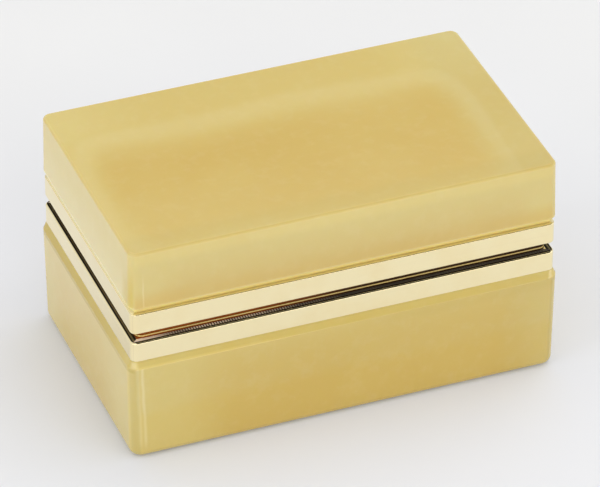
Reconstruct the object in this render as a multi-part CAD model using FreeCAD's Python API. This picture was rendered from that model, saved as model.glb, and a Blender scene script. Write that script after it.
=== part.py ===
# Decorative stone box with two gilt bands, a collar and a hinged lid.
# Millimetres, +Z up, front towards -Y, origin at the middle of the underside.
import FreeCAD, Part
import math
import os

os.makedirs("parts", exist_ok=True)

# Outline of the box
box_length = 150.0
box_depth = 90.4

# Stone base
base_height = 38.4
base_corner_radius = 4.0
base_draft = 0.5
base_floor = 9.0
base_foot_round = 3.0

# Stone lid
lid_height = 23.5
lid_corner_radius = 3.0
lid_inset = 0.8
lid_draft = 0.3
lid_roof = 9.5
lid_edge_round = 1.0

# Bevel where each stone steps in to its band
shoulder_inset = 1.2
shoulder_height = 2.4
lid_shoulder_height = 2.4
lid_ledge = 1.4

# Hollows
stone_wall = 10.5
hollow_corner_radius = 5.0
hollow_floor_round = 3.0

# Gilt bands, folded from sheet: wall outside, web over the rim, lip inside
band_sheet = 1.8
band_corner_radius = 2.2
band_edge_round = 0.6
band_lip_sheet = 0.9
band_lip_drop = 3.2
base_band_height = 7.3
lid_band_height = 7.7
ledge_edge_round = 0.35
band_gap = 3.4
lid_web_rise = 3.2
glue_gap = 0.15

# Collar
collar_inset = 2.3
collar_sheet = 1.2
collar_corner_radius = 2.4
collar_edge_round = 0.4
collar_seat_gap = 0.1

# Hinge
hinge_inset = 1.62
knuckle_radius = 1.5
knuckle_length = 12.0
knuckle_gap = 0.2
knuckle_count = 7
knuckle_foot_back = 0.8
collar_hinge_gap = 0.3
pin_radius = 0.8
pin_play = 0.05
pin_end_out = 0.5

# Overrun for cuts
overrun = 1.0

# Heights of the joints between the pieces
base_band_top = base_height + base_band_height
lid_band_foot = base_band_top + band_gap
lid_foot = lid_band_foot + lid_band_height
lid_top = lid_foot + lid_height
lid_web_under = lid_band_foot + lid_web_rise
lid_web_top = lid_web_under + band_sheet
collar_top = lid_web_under - collar_seat_gap

# Distances in from the outline
band_wall_inset = shoulder_inset + band_sheet
tongue_inset = band_wall_inset + glue_gap
lid_rim_inset = shoulder_inset + lid_ledge
lip_out_inset = stone_wall + glue_gap
lip_in_inset = lip_out_inset + band_lip_sheet
collar_out_inset = shoulder_inset + collar_inset
collar_in_inset = collar_out_inset + collar_sheet

# Hinge axis, along X at mid height of the gap
axis_inset = shoulder_inset + hinge_inset
axis_y = box_depth / 2 - axis_inset
axis_z = base_band_top + band_gap / 2
collar_back_inset = axis_inset + knuckle_radius + collar_hinge_gap
hinge_length = knuckle_count * knuckle_length + (knuckle_count - 1) * knuckle_gap

# Corner radii of the inner outlines
band_inner_radius = band_corner_radius - band_sheet
lid_rim_radius = band_corner_radius - lid_ledge
lip_in_radius = hollow_corner_radius - band_lip_sheet
collar_inner_radius = collar_corner_radius - collar_sheet


def corner_arc(x, y, radius, z, start):
    middle = FreeCAD.Vector(x, y, z)
    circle = Part.Circle(middle, FreeCAD.Vector(0, 0, 1), radius)
    return Part.Arc(circle, start, start + math.pi / 2).toShape()


def outline(inset, radius, z, back_inset=None):
    # closed rounded rectangle, the given distance in from the outline of the box
    if back_inset is None:
        back_inset = inset
    right = box_length / 2 - inset
    front = inset - box_depth / 2
    back = box_depth / 2 - back_inset
    x = right - radius
    low = front + radius
    high = back - radius
    v = FreeCAD.Vector
    edges = [
        Part.makeLine(v(-x, front, z), v(x, front, z)),
        corner_arc(x, low, radius, z, -math.pi / 2),
        Part.makeLine(v(right, low, z), v(right, high, z)),
        corner_arc(x, high, radius, z, 0),
        Part.makeLine(v(x, back, z), v(-x, back, z)),
        corner_arc(-x, high, radius, z, math.pi / 2),
        Part.makeLine(v(-right, high, z), v(-right, low, z)),
        corner_arc(-x, low, radius, z, math.pi),
    ]
    return Part.Wire(edges)


def slab(inset, radius, z0, z1, back_inset=None):
    face = Part.Face(outline(inset, radius, z0, back_inset))
    return face.extrude(FreeCAD.Vector(0, 0, z1 - z0))


def edges_at(shape, z):
    # the edges that lie flat at one height
    found = []
    for edge in shape.Edges:
        box = edge.BoundBox
        if abs(box.ZMin - z) < glue_gap and abs(box.ZMax - z) < glue_gap:
            found.append(edge)
    return found


def hollow(z_open, z_end, floor_round):
    # space cut from a block, its closed end rounded
    low, high = min(z_open, z_end), max(z_open, z_end)
    space = slab(stone_wall, hollow_corner_radius, low, high)
    return space.makeFillet(floor_round, edges_at(space, z_end))


def make_base_block():
    foot = outline(base_draft, base_corner_radius, 0)
    edge = outline(0, base_corner_radius, base_height - shoulder_height)
    rim = outline(shoulder_inset, band_corner_radius, base_height)
    body = Part.makeLoft([foot, edge], True, True)
    body = body.makeFillet(base_foot_round, edges_at(body, 0))
    shoulder = Part.makeLoft([edge, rim], True, True)
    tongue_top = base_band_top - band_sheet
    tongue = slab(tongue_inset, band_inner_radius, base_height, tongue_top)
    block = body.fuse([shoulder, tongue]).removeSplitter()
    return block.cut(hollow(tongue_top + overrun, base_floor, hollow_floor_round))


def make_lid_block():
    rim = outline(lid_rim_inset, lid_rim_radius, lid_foot)
    edge = outline(lid_inset, lid_corner_radius, lid_foot + lid_shoulder_height)
    top = outline(lid_inset + lid_draft, lid_corner_radius, lid_top)
    body = Part.makeLoft([edge, top], True, True)
    body = body.makeFillet(lid_edge_round, edges_at(body, lid_top))
    shoulder = Part.makeLoft([rim, edge], True, True)
    tongue = slab(tongue_inset, band_inner_radius, lid_web_top, lid_foot)
    block = body.fuse([shoulder, tongue]).removeSplitter()
    return block.cut(hollow(lid_web_top - overrun, lid_top - lid_roof, hollow_floor_round))


def band_lip(z0, z1):
    lip = slab(lip_out_inset, hollow_corner_radius, z0, z1)
    return lip.cut(slab(lip_in_inset, lip_in_radius, z0 - overrun, z1 + overrun))


def make_base_band():
    web_under = base_band_top - band_sheet
    frame = slab(shoulder_inset, band_corner_radius, base_height, base_band_top)
    frame = frame.makeFillet(band_edge_round, edges_at(frame, base_band_top))
    inside = slab(band_wall_inset, band_inner_radius, base_height - overrun, web_under)
    middle = slab(lip_in_inset, lip_in_radius, base_height - overrun, base_band_top + overrun)
    frame = frame.cut([inside, middle])
    return frame.fuse(band_lip(web_under - band_lip_drop, web_under)).removeSplitter()


def make_lid_band():
    frame = slab(shoulder_inset, band_corner_radius, lid_band_foot, lid_foot)
    frame = frame.makeFillet(band_edge_round, edges_at(frame, lid_band_foot))
    frame = frame.makeFillet(ledge_edge_round, edges_at(frame, lid_foot))
    below = slab(band_wall_inset, band_inner_radius, lid_band_foot - overrun, lid_web_under)
    above = slab(band_wall_inset, band_inner_radius, lid_web_top, lid_foot + overrun)
    middle = slab(lip_in_inset, lip_in_radius, lid_band_foot - overrun, lid_foot + overrun)
    frame = frame.cut([below, above, middle])
    return frame.fuse(band_lip(lid_web_top, lid_web_top + band_lip_drop)).removeSplitter()


def make_collar():
    ring = slab(collar_out_inset, collar_corner_radius, base_band_top, collar_top, collar_back_inset)
    ring = ring.makeFillet(collar_edge_round, edges_at(ring, collar_top))
    back = collar_back_inset + collar_sheet
    inside = slab(collar_in_inset, collar_inner_radius, base_band_top - overrun, collar_top + overrun, back)
    return ring.cut(inside)


def knuckle_start(index):
    return -hinge_length / 2 + index * (knuckle_length + knuckle_gap)


def barrel(x, radius, length):
    return Part.makeCylinder(radius, length, FreeCAD.Vector(x, axis_y, axis_z), FreeCAD.Vector(1, 0, 0))


def bore(x, radius):
    return barrel(x - overrun, radius, knuckle_length + 2 * overrun)


def make_base_knuckle(index):
    # tube on a foot that stands on the web of the base band
    x = knuckle_start(index)
    width = knuckle_radius + knuckle_foot_back
    corner = FreeCAD.Vector(x, axis_y - knuckle_radius, base_band_top)
    foot = Part.makeBox(knuckle_length, width, axis_z - base_band_top, corner)
    solid = barrel(x, knuckle_radius, knuckle_length).fuse(foot).removeSplitter()
    return solid.cut(bore(x, pin_radius))


def make_lid_knuckle(index):
    # tube with a tang that reaches up inside the wall of the lid band to its web
    x = knuckle_start(index)
    tang_back = box_depth / 2 - band_wall_inset
    tang_front = axis_y - knuckle_radius
    corner = FreeCAD.Vector(x, tang_front, axis_z)
    tang = Part.makeBox(knuckle_length, tang_back - tang_front, lid_web_under - axis_z, corner)
    solid = barrel(x, knuckle_radius, knuckle_length).fuse(tang).removeSplitter()
    return solid.cut(bore(x, pin_radius + pin_play))


def make_pin():
    length = hinge_length + 2 * pin_end_out
    pin = barrel(-length / 2, pin_radius, length)
    ends = []
    for edge in pin.Edges:
        if edge.BoundBox.XLength < glue_gap:
            ends.append(edge)
    return pin.makeFillet(pin_end_out, ends)


def main():
    pieces = {
        "base_block": make_base_block(),
        "base_band": make_base_band(),
        "base_collar": make_collar(),
        "lid_block": make_lid_block(),
        "lid_band": make_lid_band(),
        "hinge_pin": make_pin(),
    }
    for index in range(knuckle_count):
        place = index // 2 + 1
        if index % 2 == 0:
            pieces["base_knuckle_%d" % place] = make_base_knuckle(index)
        else:
            pieces["lid_knuckle_%d" % place] = make_lid_knuckle(index)
    for name, shape in pieces.items():
        shape.exportStep("parts/%s.step" % name)
        box = shape.BoundBox
        print(name, shape.isValid(), len(shape.Solids), round(shape.Volume, 1),
              [round(value, 3) for value in (box.XMin, box.XMax, box.YMin, box.YMax, box.ZMin, box.ZMax)])


main()
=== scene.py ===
import bpy, math
import numpy as np
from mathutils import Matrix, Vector


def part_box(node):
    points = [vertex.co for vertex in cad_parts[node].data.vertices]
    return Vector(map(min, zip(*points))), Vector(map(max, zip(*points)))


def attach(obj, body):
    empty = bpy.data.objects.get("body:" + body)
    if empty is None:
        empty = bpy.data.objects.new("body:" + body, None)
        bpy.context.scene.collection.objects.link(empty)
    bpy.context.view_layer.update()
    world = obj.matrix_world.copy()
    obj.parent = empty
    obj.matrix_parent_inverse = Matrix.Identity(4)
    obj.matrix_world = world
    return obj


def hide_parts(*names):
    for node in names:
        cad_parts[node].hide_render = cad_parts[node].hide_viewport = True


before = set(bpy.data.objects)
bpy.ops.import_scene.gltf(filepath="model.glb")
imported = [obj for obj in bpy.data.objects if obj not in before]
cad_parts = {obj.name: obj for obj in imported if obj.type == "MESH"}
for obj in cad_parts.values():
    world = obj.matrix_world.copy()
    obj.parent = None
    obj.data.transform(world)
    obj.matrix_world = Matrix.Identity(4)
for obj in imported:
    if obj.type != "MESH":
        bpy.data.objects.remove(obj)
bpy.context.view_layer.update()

scene = bpy.context.scene
scene.view_settings.view_transform = "Standard"
mm = 0.001

# Outline and heights in millimetres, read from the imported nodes
baseLow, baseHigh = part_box("base_block")
bandLow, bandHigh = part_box("base_band")
halfLength = (baseHigh[0] - baseLow[0]) / 2 / mm
halfDepth = (baseHigh[1] - baseLow[1]) / 2 / mm
shoulderZ = bandLow[2] / mm
baseBandTop = bandHigh[2] / mm
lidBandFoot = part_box("lid_band")[0][2] / mm
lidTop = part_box("lid_block")[1][2] / mm
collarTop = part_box("base_collar")[1][2] / mm

# Sizes that several pieces share, in millimetres
sheet = 1.8             # brass of the bands
lipSheet = 0.9          # brass of their lips
glueGap = 0.15
bandIn = 1.2            # face of the bands, in from the outline
lidLedge = 1.4          # ledge of the lid band outside the lid stone
stoneWall = 10.5
shoulderHeight = 2.4    # bevel of either stone
lidBandHeight = 7.7
webRise = 3.2           # web of the lid band above its foot
lipDrop = 3.2           # reach of the lips past the webs
wallIn = bandIn + sheet
tongueIn = wallIn + glueGap
lipOut = stoneWall + glueGap
lipIn = lipOut + lipSheet
baseEdge = shoulderZ - shoulderHeight
tongueTop = baseBandTop - sheet
baseLipFoot = tongueTop - lipDrop
lidFoot = lidBandFoot + lidBandHeight
lidEdge = lidFoot + shoulderHeight
webUnder = lidBandFoot + webRise
webTop = webUnder + sheet
lidLipTop = webTop + lipDrop

# Corner radii in plan and rounds that several pieces share, and where the flat caps of the stones start
bandCorner, tongueCorner, hollowCorner, lipCorner = 2.2, 0.4, 5.0, 4.1
hollowRound, mouthRound, lipRound = 3.0, 0.3, 0.25
capIn, capCorner, floorIn, floorCorner = 9.0, 1.0, 18.0, 0.6
print("sizes read")


# One side from corner to corner, as shares of its half length, with a support point close to either end
def sideRun(count, run, end):
    return np.concatenate([[-end], np.linspace(-run, run, count), [end]])


# Round the box: four straight sides and four corner arcs, as how far each point leans to a side and which
# way it faces. A point is at lean * (half size - radius) + facing * radius, so one pattern serves every ring.
def ringPattern(along, across, perCorner):
    sideX = sideRun(along, 0.97, 0.9965)
    sideY = sideRun(across, 0.95, 0.994)
    parts = []
    for k, (cornerX, cornerY) in enumerate([(1, -1), (1, 1), (-1, 1), (-1, -1)]):
        run = sideX if k % 2 == 0 else sideY
        one, zero = np.ones_like(run), np.zeros_like(run)
        front, right = (run, -one, zero, -one), (one, run, one, zero)
        back, left = (-run, one, zero, one), (-one, -run, -one, zero)
        turn = np.linspace(0, 1, perCorner) * math.pi / 2 + (k - 1) * math.pi / 2
        corner = (np.full(perCorner, cornerX), np.full(perCorner, cornerY), np.cos(turn), np.sin(turn))
        parts += [np.stack((front, right, back, left)[k]), np.stack(corner)]
    return np.concatenate(parts, axis=1)


# The section of a piece: each corner is swapped for an arc of its own round, with a support point close by on
# either side. Corners are (distance in from the outline, height, corner radius in plan, round), and the plan
# radius shrinks as the arc moves in. A corner with no round stays crisp between two support points.
def softSection(corners, closed, steps=7, support=0.22, crisp=0.06, leastPlan=0.3):
    spots = np.array([corner[:2] for corner in corners], float)
    rows = []
    for i, (inset, z, plan, soft) in enumerate(corners):
        here = spots[i]
        if not closed and i in (0, len(corners) - 1):
            rows.append((inset, z, plan))
            continue
        back = spots[i - 1] - here
        ahead = spots[(i + 1) % len(corners)] - here
        back, ahead = back / np.linalg.norm(back), ahead / np.linalg.norm(ahead)
        if soft == 0:
            bend = np.vstack([here + back * crisp, here, here + ahead * crisp])
        else:
            angle = math.acos(float(np.clip(back @ ahead, -1, 1)))
            turn = math.pi - angle
            reach = soft / math.tan(angle / 2)
            centre = here + (back + ahead) / np.linalg.norm(back + ahead) * soft / math.sin(angle / 2)
            first = (here + back * reach - centre) / soft
            last = (here + ahead * reach - centre) / soft
            k = np.linspace(0, 1, steps)[:, None]
            arc = centre + soft * (np.sin((1 - k) * turn) * first + np.sin(k * turn) * last) / math.sin(turn)
            bend = np.vstack([here + back * (reach + support), arc, here + ahead * (reach + support)])
        rows += [(a, b, max(leastPlan, plan - (a - inset))) for a, b in bend]
    return np.array(rows)


# Rings stacked along the section give a grid of quads: open sections end in a flat cap, closed ones join up.
def ringPiece(name, spec):
    rows = softSection(spec["corners"], spec["closed"])
    leanX, leanY, faceX, faceY = ringPattern(spec["along"], spec["across"], spec["perCorner"])
    inset, z, plan = rows[:, :1], rows[:, 1:2], rows[:, 2:]
    backMore = spec.get("backMore", 0.0)
    halfX, halfY = halfLength - inset, halfDepth - inset - backMore / 2
    x = leanX * (halfX - plan) + faceX * plan
    y = leanY * (halfY - plan) + faceY * plan - backMore / 2
    points = np.stack([x, y, np.broadcast_to(z, x.shape)], axis=2).reshape(-1, 3) * mm
    count, around = x.shape
    i, j = np.meshgrid(np.arange(count if spec["closed"] else count - 1), np.arange(around), indexing="ij")
    up, on = (i + 1) % count, (j + 1) % around
    quads = np.stack([i * around + j, i * around + on, up * around + on, up * around + j], axis=2)
    faces = quads.reshape(-1, 4).tolist()
    if not spec["closed"]:
        faces.append(list(range(around - 1, -1, -1)))
        faces.append(list(range((count - 1) * around, count * around)))
    mesh = bpy.data.meshes.new(name)
    mesh.from_pydata(points.tolist(), [], faces)
    mesh.polygons.foreach_set("use_smooth", np.ones(len(mesh.polygons), bool))
    mesh.update()
    piece = bpy.data.objects.new(name, mesh)
    scene.collection.objects.link(piece)
    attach(piece, spec["body"])
    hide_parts(spec["node"])
    return piece


# Shader helpers
def newMaterial(name):
    material = bpy.data.materials.new(name)
    material.use_nodes = True
    tree = material.node_tree
    return material, tree, tree.nodes["Principled BSDF"]


def setInput(tree, node, key, value):
    if isinstance(value, bpy.types.NodeSocket):
        tree.links.new(value, node.inputs[key])
    else:
        node.inputs[key].default_value = value


def addNode(tree, kind, inputs=None, **settings):
    node = tree.nodes.new(kind)
    for key, value in settings.items():
        setattr(node, key, value)
    for key, value in (inputs or {}).items():
        setInput(tree, node, key, value)
    return node


def calc(tree, operation, a, b=0.0, c=0.0):
    return addNode(tree, "ShaderNodeMath", {0: a, 1: b, 2: c}, operation=operation).outputs[0]


def absolute(tree, value):
    return calc(tree, "ABSOLUTE", value)


def product(tree, first, *others):
    for other in others:
        first = calc(tree, "MULTIPLY", first, other)
    return first


def highest(tree, first, *others):
    for other in others:
        first = calc(tree, "MAXIMUM", first, other)
    return first


def mixColour(tree, factor, a, b, blend="MIX"):
    inputs = {0: factor, 6: a, 7: b}
    return addNode(tree, "ShaderNodeMix", inputs, data_type="RGBA", blend_type=blend).outputs[2]


def easeRange(tree, value, low, high, toLow=0.0, toHigh=1.0):
    inputs = {0: value, 1: low, 2: high, 3: toLow, 4: toHigh}
    return addNode(tree, "ShaderNodeMapRange", inputs, interpolation_type="SMOOTHSTEP").outputs[0]


def easeOver(tree, value, low, high, toLow=0.0, toHigh=1.0):
    return easeRange(tree, value, low * mm, high * mm, toLow, toHigh)    # limits in millimetres


def noise(tree, spot, scale, detail=2.0, rough=0.5):
    inputs = {"Vector": spot, "Scale": scale, "Detail": detail, "Roughness": rough}
    return addNode(tree, "ShaderNodeTexNoise", inputs).outputs[0]


def surfacePlace(tree):
    where = tree.nodes.new("ShaderNodeTexCoord").outputs
    place = addNode(tree, "ShaderNodeSeparateXYZ", {0: where["Object"]}).outputs
    facing = addNode(tree, "ShaderNodeSeparateXYZ", {0: where["Normal"]}).outputs
    return where["Object"], place, facing


def addRipple(tree, shader, height, strength, deep):
    bump = addNode(tree, "ShaderNodeBump", {"Height": height, "Strength": strength, "Distance": deep * mm})
    setInput(tree, shader, "Normal", bump.outputs[0])


# How far a point lies from the middle, with the middle shifted the other way and a slow drift added
def reachFrom(tree, along, shift, drift):
    return calc(tree, "ADD", absolute(tree, calc(tree, "ADD", along, shift * mm)), drift)


# The faces of a stone, told apart by limits on the normal: none at the first limit, all at the second
def stoneFaces(tree, facing):
    endways = absolute(tree, facing[0])
    level = absolute(tree, facing[2])
    topEdge = product(tree, easeRange(tree, facing[2], 0.1, 0.35), easeRange(tree, facing[2], 0.97, 0.85))
    corners = product(tree, easeRange(tree, endways, 0.2, 0.4), easeRange(tree, endways, 0.97, 0.85))
    return {"front": easeRange(tree, facing[1], -0.8, -0.97), "sides": easeRange(tree, endways, 0.4, 0.75),
            "level": easeRange(tree, level, 0.5, 0.95), "upright": easeRange(tree, level, 0.3, 0.1),
            "below": easeRange(tree, facing[2], -0.2, -0.45), "topEdge": topEdge, "corners": corners}


# Painted shade of light through the stone: warm where the hollow lies close behind the face, pale over the
# thick walls, and a share of that on each face
def paintedHollowShade(tree, place, facing, drift, spec):
    warmth = easeOver(tree, place[2], *spec["deep"])
    for axis, half in enumerate((halfLength, halfDepth)):
        limit = half - stoneWall
        reach = reachFrom(tree, place[axis], spec["shift"][axis], drift)
        near = easeOver(tree, reach, limit + spec["blurOut"], limit - spec["blurIn"])
        turned = absolute(tree, facing[axis])
        behind = highest(tree, near, easeRange(tree, turned, 0.5, 0.95))
        warmth = product(tree, warmth, behind, easeRange(tree, turned, 0.5, 0.95, 1.0, spec["shares"][axis]))
    return warmth


# Top of the lid, painted light through the stone: a warm patch of painted shade off the middle, a pale line
# round it, pale back corners and a hazy front
def paintedTopLightAndShade(tree, place, level, drift, warmth, top):
    patch = 1.0
    for axis, (reach, shift, blur) in enumerate(top["patch"]):
        far = reachFrom(tree, place[axis], shift, drift)
        patch = product(tree, patch, easeOver(tree, far, reach + blur, reach - blur))
    corner = easeOver(tree, absolute(tree, place[0]), *top["cornerX"])
    corner = product(tree, corner, easeOver(tree, place[1], *top["cornerY"]))
    line = product(tree, easeRange(tree, patch, *top["lineOut"]), easeRange(tree, patch, *top["lineIn"]))
    line = product(tree, line, level, top["line"])
    haze = product(tree, corner, top["cornerHaze"])
    haze = highest(tree, haze, easeOver(tree, place[1], *top["frontHaze"]))
    shade = highest(tree, patch, calc(tree, "MULTIPLY_ADD", corner, -top["cornerFade"], top["around"]))
    shade = calc(tree, "SUBTRACT", shade, warmth)
    warmth = calc(tree, "MULTIPLY_ADD", shade, level, warmth)
    return warmth, highest(tree, line, product(tree, haze, level))


# Painted reflections of the corner inside the stone: upright pale lines near the front left corner, which
# lean and wander a little with the clouds
def paintedCornerReflections(tree, place, cloud, mask, spec):
    wander = calc(tree, "MULTIPLY_ADD", cloud, spec["wander"] * mm, place[0])
    found = 0.0
    for line in spec["reflectionLines"]:
        across = calc(tree, "MULTIPLY_ADD", place[2], line["lean"], wander)
        middle = halfLength - line["fromEnd"] - spec["wander"] / 2
        off = absolute(tree, calc(tree, "ADD", across, middle * mm))
        strength = easeOver(tree, off, line["wide"], 0.0, 0.0, line["share"])
        found = highest(tree, found, product(tree, strength, easeOver(tree, place[2], *line["fade"]), mask))
    return found


# Lower edge of the lid stone: a painted gold glow along the front and back with a painted highlight line
# above it, painted pale light at the ends
def paintedRimGlow(tree, place, faces, colour, rim):
    high = calc(tree, "SUBTRACT", place[2], rim["edge"] * mm)
    along = calc(tree, "SUBTRACT", 1.0, faces["sides"])
    under = product(tree, faces["below"], easeOver(tree, high, *rim["glow"]), along)
    colour = mixColour(tree, under, colour, rim["colour"])
    ends = product(tree, easeOver(tree, high, *rim["endGlow"]), faces["sides"])
    colour = mixColour(tree, ends, colour, rim["endColour"])
    off = absolute(tree, calc(tree, "SUBTRACT", high, rim["lineRise"] * mm))
    return colour, product(tree, along, easeOver(tree, off, *rim["line"]))


# Honey stone: painted light passing through it, pale where it is thick and warmer over the hollow, with
# clouds, a fine veil and tints on single faces. A tone is a face, limits along the axes and a tint that the
# colour is multiplied by; some tones are painted shade and painted highlights.
def stoneMaterial(name, spec):
    material, tree, shader = newMaterial(name)
    spot, place, facing = surfacePlace(tree)
    faces = stoneFaces(tree, facing)
    drift = noise(tree, spot, *spec["driftNoise"])
    drift = calc(tree, "MULTIPLY_ADD", drift, 2 * spec["drift"] * mm, -spec["drift"] * mm)
    cloud = noise(tree, spot, *spec["cloudNoise"])
    veil = noise(tree, spot, *spec["veilNoise"])
    warmth = paintedHollowShade(tree, place, facing, drift, spec)
    light = paintedCornerReflections(tree, place, cloud, product(tree, faces["front"], faces["upright"]), spec)
    # Painted light: end faces paler over a span of heights
    light = highest(tree, light, product(tree, faces["sides"], easeOver(tree, place[2], *spec["side"])))
    if "top" in spec:
        warmth, outline = paintedTopLightAndShade(tree, place, faces["level"], drift, warmth, spec["top"])
        light = highest(tree, light, outline)
    colour = mixColour(tree, warmth, spec["pale"], spec["warm"])
    colour = mixColour(tree, easeRange(tree, cloud, *spec["cloudShare"]), colour, spec["cloud"])
    colour = mixColour(tree, easeRange(tree, veil, *spec["veilShare"]), colour, spec["veil"])
    if "rim" in spec:
        colour, line = paintedRimGlow(tree, place, faces, colour, spec["rim"])
        light = highest(tree, light, line)
    # All the painted light and highlight lines above take the pale veil colour
    colour = mixColour(tree, light, colour, spec["veil"])
    for face, limits, tint in spec["tones"]:
        mask = faces[face]
        for axis, start, end in limits:
            mask = product(tree, mask, easeOver(tree, place["xyz".index(axis)], start, end))
        colour = mixColour(tree, mask, colour, tint, "MULTIPLY")
    setInput(tree, shader, "Base Color", colour)
    setInput(tree, shader, "Roughness", easeRange(tree, veil, *spec["rough"]))
    setInput(tree, shader, "Subsurface Weight", spec["inside"])
    setInput(tree, shader, "Subsurface Radius", spec["scatter"])
    setInput(tree, shader, "Subsurface Scale", spec["depth"] * mm)
    setInput(tree, shader, "IOR", spec["ior"])
    addRipple(tree, shader, noise(tree, spot, *spec["rippleNoise"]), spec["ripple"], spec["rippleDeep"])
    return material


# Outside of the collar: browned as a guessed patina that also stands in for the shade in the gap, painted
# shade darker to the right, with a thin painted highlight line along it
def collarPatinaAndShade(tree, place, facing, patch, colour, outer):
    outward = product(tree, facing[1], place[1])
    outward = calc(tree, "MULTIPLY_ADD", facing[0], place[0], outward)
    outward = easeOver(tree, outward, *outer["outward"])
    off = absolute(tree, calc(tree, "SUBTRACT", place[2], (baseBandTop + outer["stripeRise"]) * mm))
    wall = mixColour(tree, patch, outer["colour"], outer["dark"])
    wall = mixColour(tree, easeOver(tree, place[0], *outer["rightward"]), wall, outer["right"])
    wall = mixColour(tree, easeOver(tree, off, *outer["stripeWide"]), wall, outer["paintedHighlightLine"])
    return mixColour(tree, outward, colour, wall), outward


# Flat ledge of a band: dull, its colour painted shade on the base band and a painted reflection of the stone
# on the lid band, fine cross hatching along the front and back, a streak along the ends
def ledgeShadeAndReflection(tree, place, facing, patch, away, colour, ledge):
    depth = highest(tree, *away)
    dull = product(tree, easeRange(tree, facing[2], *ledge["up"]), easeOver(tree, depth, *ledge["reach"]))
    hatch = calc(tree, "SINE", product(tree, place[0], ledge["hatchTurns"]))
    hatch = easeRange(tree, hatch, -ledge["hatchSharp"], ledge["hatchSharp"])
    hatch = product(tree, hatch, easeRange(tree, patch, *ledge["hatchPatch"]))
    hatch = product(tree, hatch, easeOver(tree, place[0], *ledge["hatchFade"]))
    # Painted glint: the hatch colour in full near the left front corner
    hatch = highest(tree, hatch, easeOver(tree, place[0], *ledge["paintedGlint"]))
    hatch = product(tree, hatch, easeOver(tree, depth, *ledge["hatchInner"]))
    streak = absolute(tree, calc(tree, "ADD", depth, ledge["streakIn"] * mm))
    streak = easeOver(tree, streak, *ledge["streakWide"])
    streak = product(tree, streak, easeOver(tree, place[1], *ledge["streakFade"]))
    ends = easeOver(tree, calc(tree, "SUBTRACT", *away), *ledge["mitre"])
    along = mixColour(tree, hatch, ledge["colour"], ledge["hatch"])
    paint = mixColour(tree, ends, along, mixColour(tree, streak, ledge["end"], ledge["streak"]))
    return mixColour(tree, dull, colour, paint), dull


# What is browned or dull is less of a metal and less glossy
def coverMetal(tree, shader, covered, paint):
    setInput(tree, shader, "Metallic", calc(tree, "MULTIPLY_ADD", covered, paint["metal"] - 1.0, 1.0))
    setInput(tree, shader, "Specular IOR Level", paint["specular"])


# Gilt brass: mirror polish with faint ripples, fine rubbed lines and a dull mark at the mitred corners
def giltMaterial(name, spec):
    material, tree, shader = newMaterial(name)
    spot, place, facing = surfacePlace(tree)
    rub = addNode(tree, "ShaderNodeMapping", {0: spot, 3: spec["rub"]}).outputs[0]
    rub = noise(tree, rub, *spec["rubNoise"])
    patch = noise(tree, spot, *spec["patchNoise"])
    away = []
    for axis, half in enumerate((halfLength, halfDepth)):
        away.append(calc(tree, "SUBTRACT", absolute(tree, place[axis]), (half - bandIn) * mm))
    seam = easeOver(tree, absolute(tree, calc(tree, "SUBTRACT", *away)), *spec["seam"])
    colour = mixColour(tree, easeRange(tree, patch, *spec["patchShare"]), spec["bright"], spec["warm"])
    colour = mixColour(tree, easeRange(tree, rub, *spec["tarnish"]), colour, spec["dark"])
    colour = mixColour(tree, seam, colour, spec["dark"])
    setInput(tree, shader, "Metallic", 1.0)
    if "outer" in spec:
        colour, outward = collarPatinaAndShade(tree, place, facing, patch, colour, spec["outer"])
        coverMetal(tree, shader, outward, spec["outer"])
    if "ledge" in spec:
        colour, dull = ledgeShadeAndReflection(tree, place, facing, patch, away, colour, spec["ledge"])
        coverMetal(tree, shader, dull, spec["ledge"])
    setInput(tree, shader, "Base Color", colour)
    setInput(tree, shader, "Roughness", easeRange(tree, rub, *spec["rough"]))
    height = calc(tree, "MULTIPLY_ADD", rub, spec["rubDeep"], noise(tree, spot, *spec["rippleNoise"]))
    addRipple(tree, shader, height, spec["ripple"], spec["rippleDeep"])
    return material


# What both stones share: noises are (scale, detail, roughness), lengths are in millimetres
stoneLook = {
    "veil": (0.78, 0.68, 0.36, 1), "inside": 0.25, "depth": 2.0, "scatter": (1.0, 0.62, 0.22), "ior": 1.6,
    "rough": (0.3, 0.75, 0.05, 0.10), "driftNoise": (22.0, 1.0), "drift": 4.0, "wander": 3.0,
    "cloudNoise": (34.0, 3.0, 0.55), "cloudShare": (0.35, 0.7, 0.0, 0.35),
    "veilNoise": (210.0, 4.0, 0.6), "veilShare": (0.45, 0.75, 0.0, 0.10),
    "rippleNoise": (60.0, 1.0), "ripple": 0.10, "rippleDeep": 0.4}

# Base stone: rounded foot, bevel below the band, tongue inside the band, hollow with a rounded floor
baseSize = {"corner": 4.0, "draft": 0.5, "footRound": 3.0, "edgeRound": 0.5, "rimRound": 0.2, "floor": 9.0}
baseStone = ringPiece("base_stone", {
    "node": "base_block", "body": "base", "slot": "honey_stone", "closed": False,
    "along": 48, "across": 30, "perCorner": 11,
    "corners": [
        (capIn, 0.0, capCorner, 0),
        (baseSize["draft"], 0.0, baseSize["corner"], baseSize["footRound"]),
        (0.0, baseEdge, baseSize["corner"], baseSize["edgeRound"]),
        (bandIn, shoulderZ, bandCorner, baseSize["rimRound"]),
        (tongueIn, shoulderZ, tongueCorner, 0),
        (tongueIn, tongueTop, tongueCorner, 0),
        (stoneWall, tongueTop, hollowCorner, mouthRound),
        (stoneWall, baseSize["floor"], hollowCorner, hollowRound),
        (floorIn, baseSize["floor"], floorCorner, 0)]})
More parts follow.
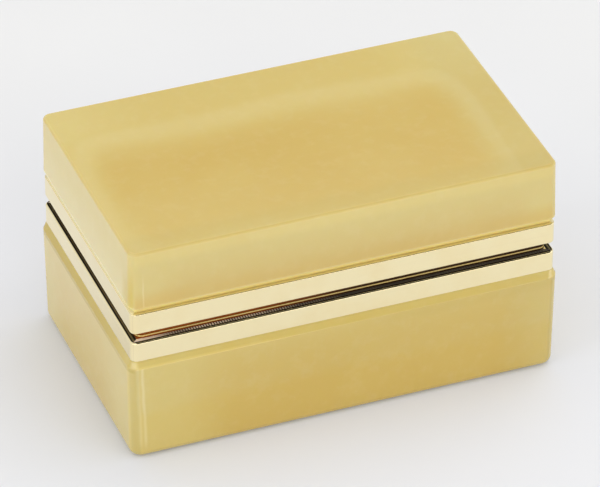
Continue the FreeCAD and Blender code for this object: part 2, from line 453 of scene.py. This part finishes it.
baseStone.data.materials.append(stoneMaterial("base_honey", dict(
    stoneLook, pale=(0.67, 0.535, 0.177, 1), warm=(0.625, 0.445, 0.105, 1), cloud=(0.65, 0.485, 0.138, 1),
    blurOut=3.0, blurIn=20.0, deep=(baseEdge + 10.0, baseEdge - 12.0), shares=(0.6, 0.95), shift=(-8.0, -4.0),
    side=(6.0, 30.0, 0.0, 0.16),
    reflectionLines=(
        {"fromEnd": 5.05, "wide": 0.95, "share": 0.62, "fade": (2.0, 8.0), "lean": 0.035},
        {"fromEnd": 3.2, "wide": 1.3, "share": 0.5, "fade": (2.0, 8.0), "lean": 0.035}),
    tones=(
        ("front", [("z", 22.0, 15.0)], (1.0, 0.97, 0.84, 1)),
        ("front", [("x", 50.0, 64.0)], (0.96, 0.95, 0.95, 1)),
        # Painted shade: a dark line along the front just under the band, fading out towards the right end
        ("front", [("z", shoulderZ - 0.6, shoulderZ - 0.1), ("x", 70.0, 20.0)], (0.88, 0.84, 0.88, 1)),
        # Painted highlight: a bright line at the lower edge of the bevel, on the left of the front
        ("front", [("z", baseEdge - 0.4, baseEdge + 0.1), ("z", baseEdge + 0.9, baseEdge + 0.4),
                   ("x", -5.0, -45.0)], (1.14, 1.14, 1.2, 1)),
        ("front", [("z", baseEdge - 5.0, baseEdge - 1.5), ("z", baseEdge + 0.4, baseEdge - 0.2),
                   ("x", -10.0, 30.0)], (0.96, 0.95, 0.89, 1)),
        ("corners", [("y", -20.0, -40.0), ("z", baseEdge, baseEdge - 1.0)], (0.90, 0.90, 0.85, 1)),
        ("sides", [("z", baseEdge - 2.0, baseEdge - 1.2), ("y", -80.0, -10.0)], (0.79, 0.745, 0.46, 1))))))

# Lid stone: the same the other way up, with a crisp top edge
lidSize = {"corner": 3.0, "inset": 0.8, "draft": 0.3, "topRound": 1.0, "edgeRound": 0.4,
           "rimCorner": 0.8, "rimRound": 0.15, "roof": 9.5}
lidRoof = lidTop - lidSize["roof"]
lidStone = ringPiece("lid_stone", {
    "node": "lid_block", "body": "lid", "slot": "honey_stone", "closed": False,
    "along": 48, "across": 30, "perCorner": 11,
    "corners": [
        (floorIn, lidRoof, floorCorner, 0),
        (stoneWall, lidRoof, hollowCorner, hollowRound),
        (stoneWall, webTop, hollowCorner, mouthRound),
        (tongueIn, webTop, tongueCorner, 0),
        (tongueIn, lidFoot, tongueCorner, 0),
        (bandIn + lidLedge, lidFoot, lidSize["rimCorner"], lidSize["rimRound"]),
        (lidSize["inset"], lidEdge, lidSize["corner"], lidSize["edgeRound"]),
        (lidSize["inset"] + lidSize["draft"], lidTop, lidSize["corner"], lidSize["topRound"]),
        (capIn, lidTop, capCorner, 0)]})
lidStone.data.materials.append(stoneMaterial("lid_honey", dict(
    stoneLook, pale=(0.69, 0.565, 0.215, 1), warm=(0.635, 0.455, 0.14, 1), cloud=(0.67, 0.52, 0.185, 1),
    blurOut=4.0, blurIn=11.0, deep=(lidTop - 3.0, lidTop - 20.0), shares=(0.0, 0.75), shift=(0.0, 0.0),
    side=(lidTop - 4.0, lidEdge + 0.6, 0.0, 0.45),
    reflectionLines=({"fromEnd": 5.2, "wide": 0.45, "share": 0.7, "fade": (lidTop - 6.0, lidEdge + 4.6), "lean": 0.0},),
    # painted glow and painted highlight line at the lower edge of the lid stone
    rim={"edge": lidEdge, "glow": (0.3, -0.4), "colour": (1.0, 0.80, 0.29, 1),
         "lineRise": 0.1, "line": (0.45, 0.0, 0.0, 0.6),
         "endGlow": (0.8, 0.2), "endColour": (0.95, 0.88, 0.60, 1)},
    # the patch is (half size, shift, blur) along x and y
    top={"patch": ((63.0, 6.0, 9.0), (29.0, 13.0, 15.0)), "around": 0.42,
         "lineOut": (0.0, 0.18), "lineIn": (0.75, 0.2), "line": 0.2,
         "cornerX": (35.0, 72.0), "cornerY": (0.0, 42.0), "cornerFade": 0.4, "cornerHaze": 0.13,
         "frontHaze": (-4.0, -28.0, 0.0, 0.08)},
    tones=(
        ("front", [("z", lidEdge + 7.8, lidEdge + 1.3)], (0.985, 0.945, 0.84, 1)),
        ("front", [("z", lidEdge + 7.8, lidEdge + 1.3), ("x", -54.0, -66.0)], (1.0, 0.93, 0.84, 1)),
        ("front", [("z", lidEdge + 7.8, lidEdge + 1.3), ("x", 54.0, 66.0)], (0.98, 0.92, 0.80, 1)),
        # Painted light: the top of the front face lighter
        ("front", [("z", lidTop - 6.3, lidTop - 2.8)], (1.055, 1.05, 1.02, 1)),
        ("sides", [("y", -35.0, -40.0), ("z", lidTop - 4.3, lidEdge + 3.8)], (0.89, 0.83, 0.48, 1)),
        ("level", [("x", 48.0, 64.0)], (0.955, 0.965, 1.0, 1)),
        ("level", [("y", -32.0, -38.0)], (0.96, 0.96, 0.96, 1)),
        ("topEdge", [], (0.94, 0.91, 0.82, 1))))))
print("stones made")

# What the gilt pieces share
giltLook = {
    "bright": (0.968, 0.852, 0.53, 1), "warm": (0.938, 0.785, 0.437, 1), "dark": (0.32, 0.20, 0.08, 1),
    "patchNoise": (85.0, 3.0, 0.6), "patchShare": (0.35, 0.75, 0.0, 0.5),
    "rub": (18.0, 18.0, 900.0), "rubNoise": (1.0, 3.0, 0.6), "rubDeep": 0.04,
    "tarnish": (0.55, 0.8, 0.0, 0.03), "seam": (0.22, 0.05, 0.0, 0.12), "rough": (0.25, 0.8, 0.04, 0.08),
    "rippleNoise": (120.0, 1.0), "ripple": 0.10, "rippleDeep": 0.2}
ledgeLook = {
    "up": (0.9, 0.98), "reach": (-2.5, -2.3), "mitre": (0.0, 0.2), "metal": 0.2, "specular": 0.05,
    "hatchTurns": 7000.0,    # radians per metre
    "hatchSharp": 0.5, "hatchPatch": (0.35, 0.6, 0.5, 1.0),
    "hatchFade": (0.0, -35.0, 0.12, 1.0), "paintedGlint": (-58.0, -67.0, 0.07, 1.0), "hatchInner": (-0.95, -1.25),
    "streakIn": 1.25, "streakWide": (0.45, 0.15), "streakFade": (30.0, -40.0, 0.4, 1.0)}
bandSize = {"edgeRound": 0.6, "ledgeRound": 0.35, "wallRound": 0.2}

# Base band: wall outside, web over the rim, lip inside the hollow, the web painted near black as the shade in
# the gap, with fine hatching
baseBand = ringPiece("base_gilt_band", {
    "node": "base_band", "body": "base", "slot": "gilt_brass", "closed": True,
    "along": 48, "across": 30, "perCorner": 9,
    "corners": [
        (bandIn, shoulderZ, bandCorner, bandSize["wallRound"]),
        (bandIn, baseBandTop, bandCorner, bandSize["edgeRound"]),
        (lipIn, baseBandTop, lipCorner, lipRound),
        (lipIn, baseLipFoot, lipCorner, lipRound),
        (lipOut, baseLipFoot, hollowCorner, lipRound),
        (lipOut, tongueTop, hollowCorner, 0),
        (wallIn, tongueTop, tongueCorner, 0),
        (wallIn, shoulderZ, tongueCorner, 0)]})
baseBand.data.materials.append(giltMaterial("gilt_ledge", dict(giltLook, ledge=dict(
    ledgeLook, colour=(0.008, 0.005, 0.004, 1), hatch=(0.96, 0.82, 0.66, 1),
    end=(0.02, 0.018, 0.012, 1), streak=(0.20, 0.165, 0.08, 1)))))

# Lid band: the same the other way up, its ledge round the lid stone painted with a reflection of the stone,
# paler at the ends as painted light
paintedStoneReflection, paintedPaleLight = (0.72, 0.60, 0.25, 1), (0.95, 0.88, 0.62, 1)
lidBand = ringPiece("lid_gilt_band", {
    "node": "lid_band", "body": "lid", "slot": "gilt_brass", "closed": True,
    "along": 48, "across": 30, "perCorner": 9,
    "corners": [
        (bandIn, lidBandFoot, bandCorner, bandSize["edgeRound"]),
        (bandIn, lidFoot, bandCorner, bandSize["ledgeRound"]),
        (wallIn, lidFoot, tongueCorner, 0),
        (wallIn, webTop, tongueCorner, 0),
        (lipOut, webTop, hollowCorner, 0),
        (lipOut, lidLipTop, hollowCorner, lipRound),
        (lipIn, lidLipTop, lipCorner, lipRound),
        (lipIn, webUnder, lipCorner, lipRound),
        (wallIn, webUnder, tongueCorner, 0),
        (wallIn, lidBandFoot, tongueCorner, bandSize["wallRound"])]})
lidBand.data.materials.append(giltMaterial("gilt_rim", dict(giltLook, ledge=dict(
    ledgeLook, colour=paintedStoneReflection, hatch=paintedStoneReflection, end=paintedPaleLight, streak=paintedPaleLight))))

# Collar: upstand in the gap between the bands, set further in at the hinge, browned on the outside, with
# painted shade and a painted highlight line
collarSize = {"inset": 3.5, "sheet": 1.2, "corner": 2.4, "round": 0.4, "backMore": 1.12}
collarIn = collarSize["inset"] + collarSize["sheet"]
collarInCorner = collarSize["corner"] - collarSize["sheet"]
collar = ringPiece("gilt_collar", {
    "node": "base_collar", "body": "base", "slot": "gilt_brass", "closed": True,
    "along": 48, "across": 30, "perCorner": 9, "backMore": collarSize["backMore"],
    "corners": [
        (collarSize["inset"], baseBandTop, collarSize["corner"], 0),
        (collarSize["inset"], collarTop, collarSize["corner"], collarSize["round"]),
        (collarIn, collarTop, collarInCorner, collarSize["round"]),
        (collarIn, baseBandTop, collarInCorner, 0)]})
collar.data.materials.append(giltMaterial("gilt_collar", dict(giltLook, outer={
    "colour": (0.36, 0.085, 0.008, 1), "dark": (0.14, 0.034, 0.007, 1), "right": (0.05, 0.022, 0.008, 1),
    "paintedHighlightLine": (1.0, 0.74, 0.27, 1), "stripeRise": 0.85, "stripeWide": (0.28, 0.18),
    "outward": (4.0, 20.0), "rightward": (-40.0, 10.0), "metal": 0.3, "specular": 0.1})))

# Hinge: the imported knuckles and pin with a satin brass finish, turned marks across the wire
hingeBrass = giltMaterial("hinge_brass", dict(
    giltLook, bright=(0.80, 0.63, 0.33, 1), warm=(0.70, 0.52, 0.25, 1), rub=(2600.0, 60.0, 60.0), rubDeep=0.2,
    tarnish=(0.55, 0.8, 0.0, 0.15), seam=(0.22, 0.05, 0.0, 0.0), rough=(0.25, 0.8, 0.2, 0.4)))
for name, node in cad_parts.items():
    if "knuckle" in name or name == "hinge_pin":
        node.data.materials.clear()
        node.data.materials.append(hingeBrass)
print("bands, collar and hinge dressed")

# Floor: pale grey with faint clouds and a slight glow, a little blue near the box to offset its warm light
floorLook = {
    "half": 6.0, "drop": -0.0002, "tones": ((0.80, 0.80, 0.80, 1), (0.82, 0.82, 0.82, 1)),
    "cloudScale": 9.0, "cloudShare": (0.3, 0.7), "near": (0.77, 0.785, 0.84, 1), "nearReach": (220.0, 60.0),
    "rough": 0.6, "glow": (0.85, 0.85, 0.85, 1), "glowShare": 0.12}
half, drop = floorLook["half"], floorLook["drop"]
floorCorners = [(-half, -half, drop), (half, -half, drop), (half, half, drop), (-half, half, drop)]
floorMesh = bpy.data.meshes.new("floor")
floorMesh.from_pydata(floorCorners, [], [(0, 1, 2, 3)])
floor = bpy.data.objects.new("floor", floorMesh)
scene.collection.objects.link(floor)
floorMaterial, tree, shader = newMaterial("pale_floor")
spot = tree.nodes.new("ShaderNodeTexCoord").outputs["Object"]
cloud = easeRange(tree, noise(tree, spot, floorLook["cloudScale"]), *floorLook["cloudShare"])
paint = mixColour(tree, cloud, *floorLook["tones"])
fromBox = addNode(tree, "ShaderNodeVectorMath", {0: spot}, operation="LENGTH").outputs["Value"]
paint = mixColour(tree, easeOver(tree, fromBox, *floorLook["nearReach"]), paint, floorLook["near"])
setInput(tree, shader, "Base Color", paint)
setInput(tree, shader, "Roughness", floorLook["rough"])
rays = tree.nodes.new("ShaderNodeLightPath").outputs
seen = highest(tree, rays["Is Camera Ray"], rays["Is Glossy Ray"], rays["Is Transmission Ray"])
glow = addNode(tree, "ShaderNodeEmission", {0: floorLook["glow"], 1: 1.0}).outputs[0]
share = product(tree, seen, floorLook["glowShare"])
blend = addNode(tree, "ShaderNodeMixShader", {0: share, 1: shader.outputs[0], 2: glow})
setInput(tree, tree.nodes["Material Output"], 0, blend.outputs[0])
floorMesh.materials.append(floorMaterial)

# Even sky, with dark cards in front, overhead and behind and a light strip low in front. Only reflections
# see the cards and the strip. Limits are on a ray's direction: x to the right, y to the back, z up.
studio = {
    "strength": 0.78, "cardTone": (0.04, 0.04, 0.04, 1), "stripTone": (3.5, 3.5, 3.5, 1), "middleX": 0.3,
    "frontY": (0.1, -0.2), "frontWide": (0.5, 0.3), "overWide": (0.3, 0.15), "overZ": (0.70, 0.76),
    "backY": (0.1, 0.5, 0.0, 0.9), "backLeft": (-0.35, -0.05),
    "backFoot": (0.36, 0.48), "backTop": (0.8, 0.6),
    "horizon": (-0.03, 0.01), "stripFoot": (0.01, 0.04), "stripTop": (0.24, 0.18)}
world = bpy.data.worlds.new("studio")
scene.world = world
world.use_nodes = True
tree = world.node_tree
skyPlace = tree.nodes.new("ShaderNodeTexCoord").outputs["Generated"]
way = addNode(tree, "ShaderNodeSeparateXYZ", {0: skyPlace}).outputs
aside = absolute(tree, calc(tree, "SUBTRACT", way[0], studio["middleX"]))
front = easeRange(tree, way[1], *studio["frontY"])
frontCard = product(tree, front, easeRange(tree, aside, *studio["frontWide"]))
overCard = easeRange(tree, aside, *studio["overWide"])
overCard = product(tree, overCard, easeRange(tree, way[2], *studio["overZ"]))
backCard = easeRange(tree, way[1], *studio["backY"])
backCard = product(tree, backCard, easeRange(tree, way[0], *studio["backLeft"]))
backCard = product(tree, backCard, easeRange(tree, way[2], *studio["backFoot"]))
backCard = product(tree, backCard, easeRange(tree, way[2], *studio["backTop"]))
strip = easeRange(tree, way[2], *studio["stripFoot"])
strip = product(tree, strip, easeRange(tree, way[2], *studio["stripTop"]))
mirrored = tree.nodes.new("ShaderNodeLightPath").outputs["Is Glossy Ray"]
cards = highest(tree, frontCard, overCard, backCard)
cards = product(tree, cards, easeRange(tree, way[2], *studio["horizon"]), mirrored)
tone = mixColour(tree, cards, (1, 1, 1, 1), studio["cardTone"])
tone = mixColour(tree, product(tree, strip, front, mirrored), tone, studio["stripTone"])
setInput(tree, tree.nodes["Background"], 0, tone)
setInput(tree, tree.nodes["Background"], 1, studio["strength"])

# Three large soft panels, aimed at the middle of the box and not mirrored in it
panels = [
    {"name": "overhead", "place": (0.6, 0.15, 1.4), "size": (1.4, 1.4), "power": 6.0},
    {"name": "front_fill", "place": (0.35, -1.2, 0.95), "size": (1.6, 0.5), "power": 4.5},
    {"name": "left_fill", "place": (-1.2, -0.2, 0.6), "size": (0.9, 0.8), "power": 4.0}]
panelAim = Vector((0, 0, 0.04))
for panel in panels:
    light = bpy.data.lights.new(panel["name"], "AREA")
    light.shape = "RECTANGLE"
    light.size, light.size_y = panel["size"]
    light.energy = panel["power"]
    lamp = bpy.data.objects.new(panel["name"], light)
    lamp.location = panel["place"]
    lamp.rotation_euler = (panelAim - Vector(panel["place"])).to_track_quat("-Z", "Y").to_euler()
    lamp.visible_glossy = False
    scene.collection.objects.link(lamp)

# Camera: long lens, found from the straight edges in the photograph
look = {"azimuth": -21.02, "elevation": 34.58, "distance": 1.7288, "aim": (0.0008, 0.0, 0.0384),
        "lens": 312.5, "sensor": 36.0, "clipEnd": 20.0}
azimuth, elevation = math.radians(look["azimuth"]), math.radians(look["elevation"])
level = math.cos(elevation)
outward = Vector((math.sin(azimuth) * level, -math.cos(azimuth) * level, math.sin(elevation)))
camera = bpy.data.objects.new("camera", bpy.data.cameras.new("camera"))
camera.data.lens = look["lens"]
camera.data.sensor_width = look["sensor"]
camera.data.clip_end = look["clipEnd"]
camera.location = Vector(look["aim"]) + outward * look["distance"]
camera.rotation_euler = (-outward).to_track_quat("-Z", "Y").to_euler()
scene.collection.objects.link(camera)
scene.camera = camera
print("stage set")
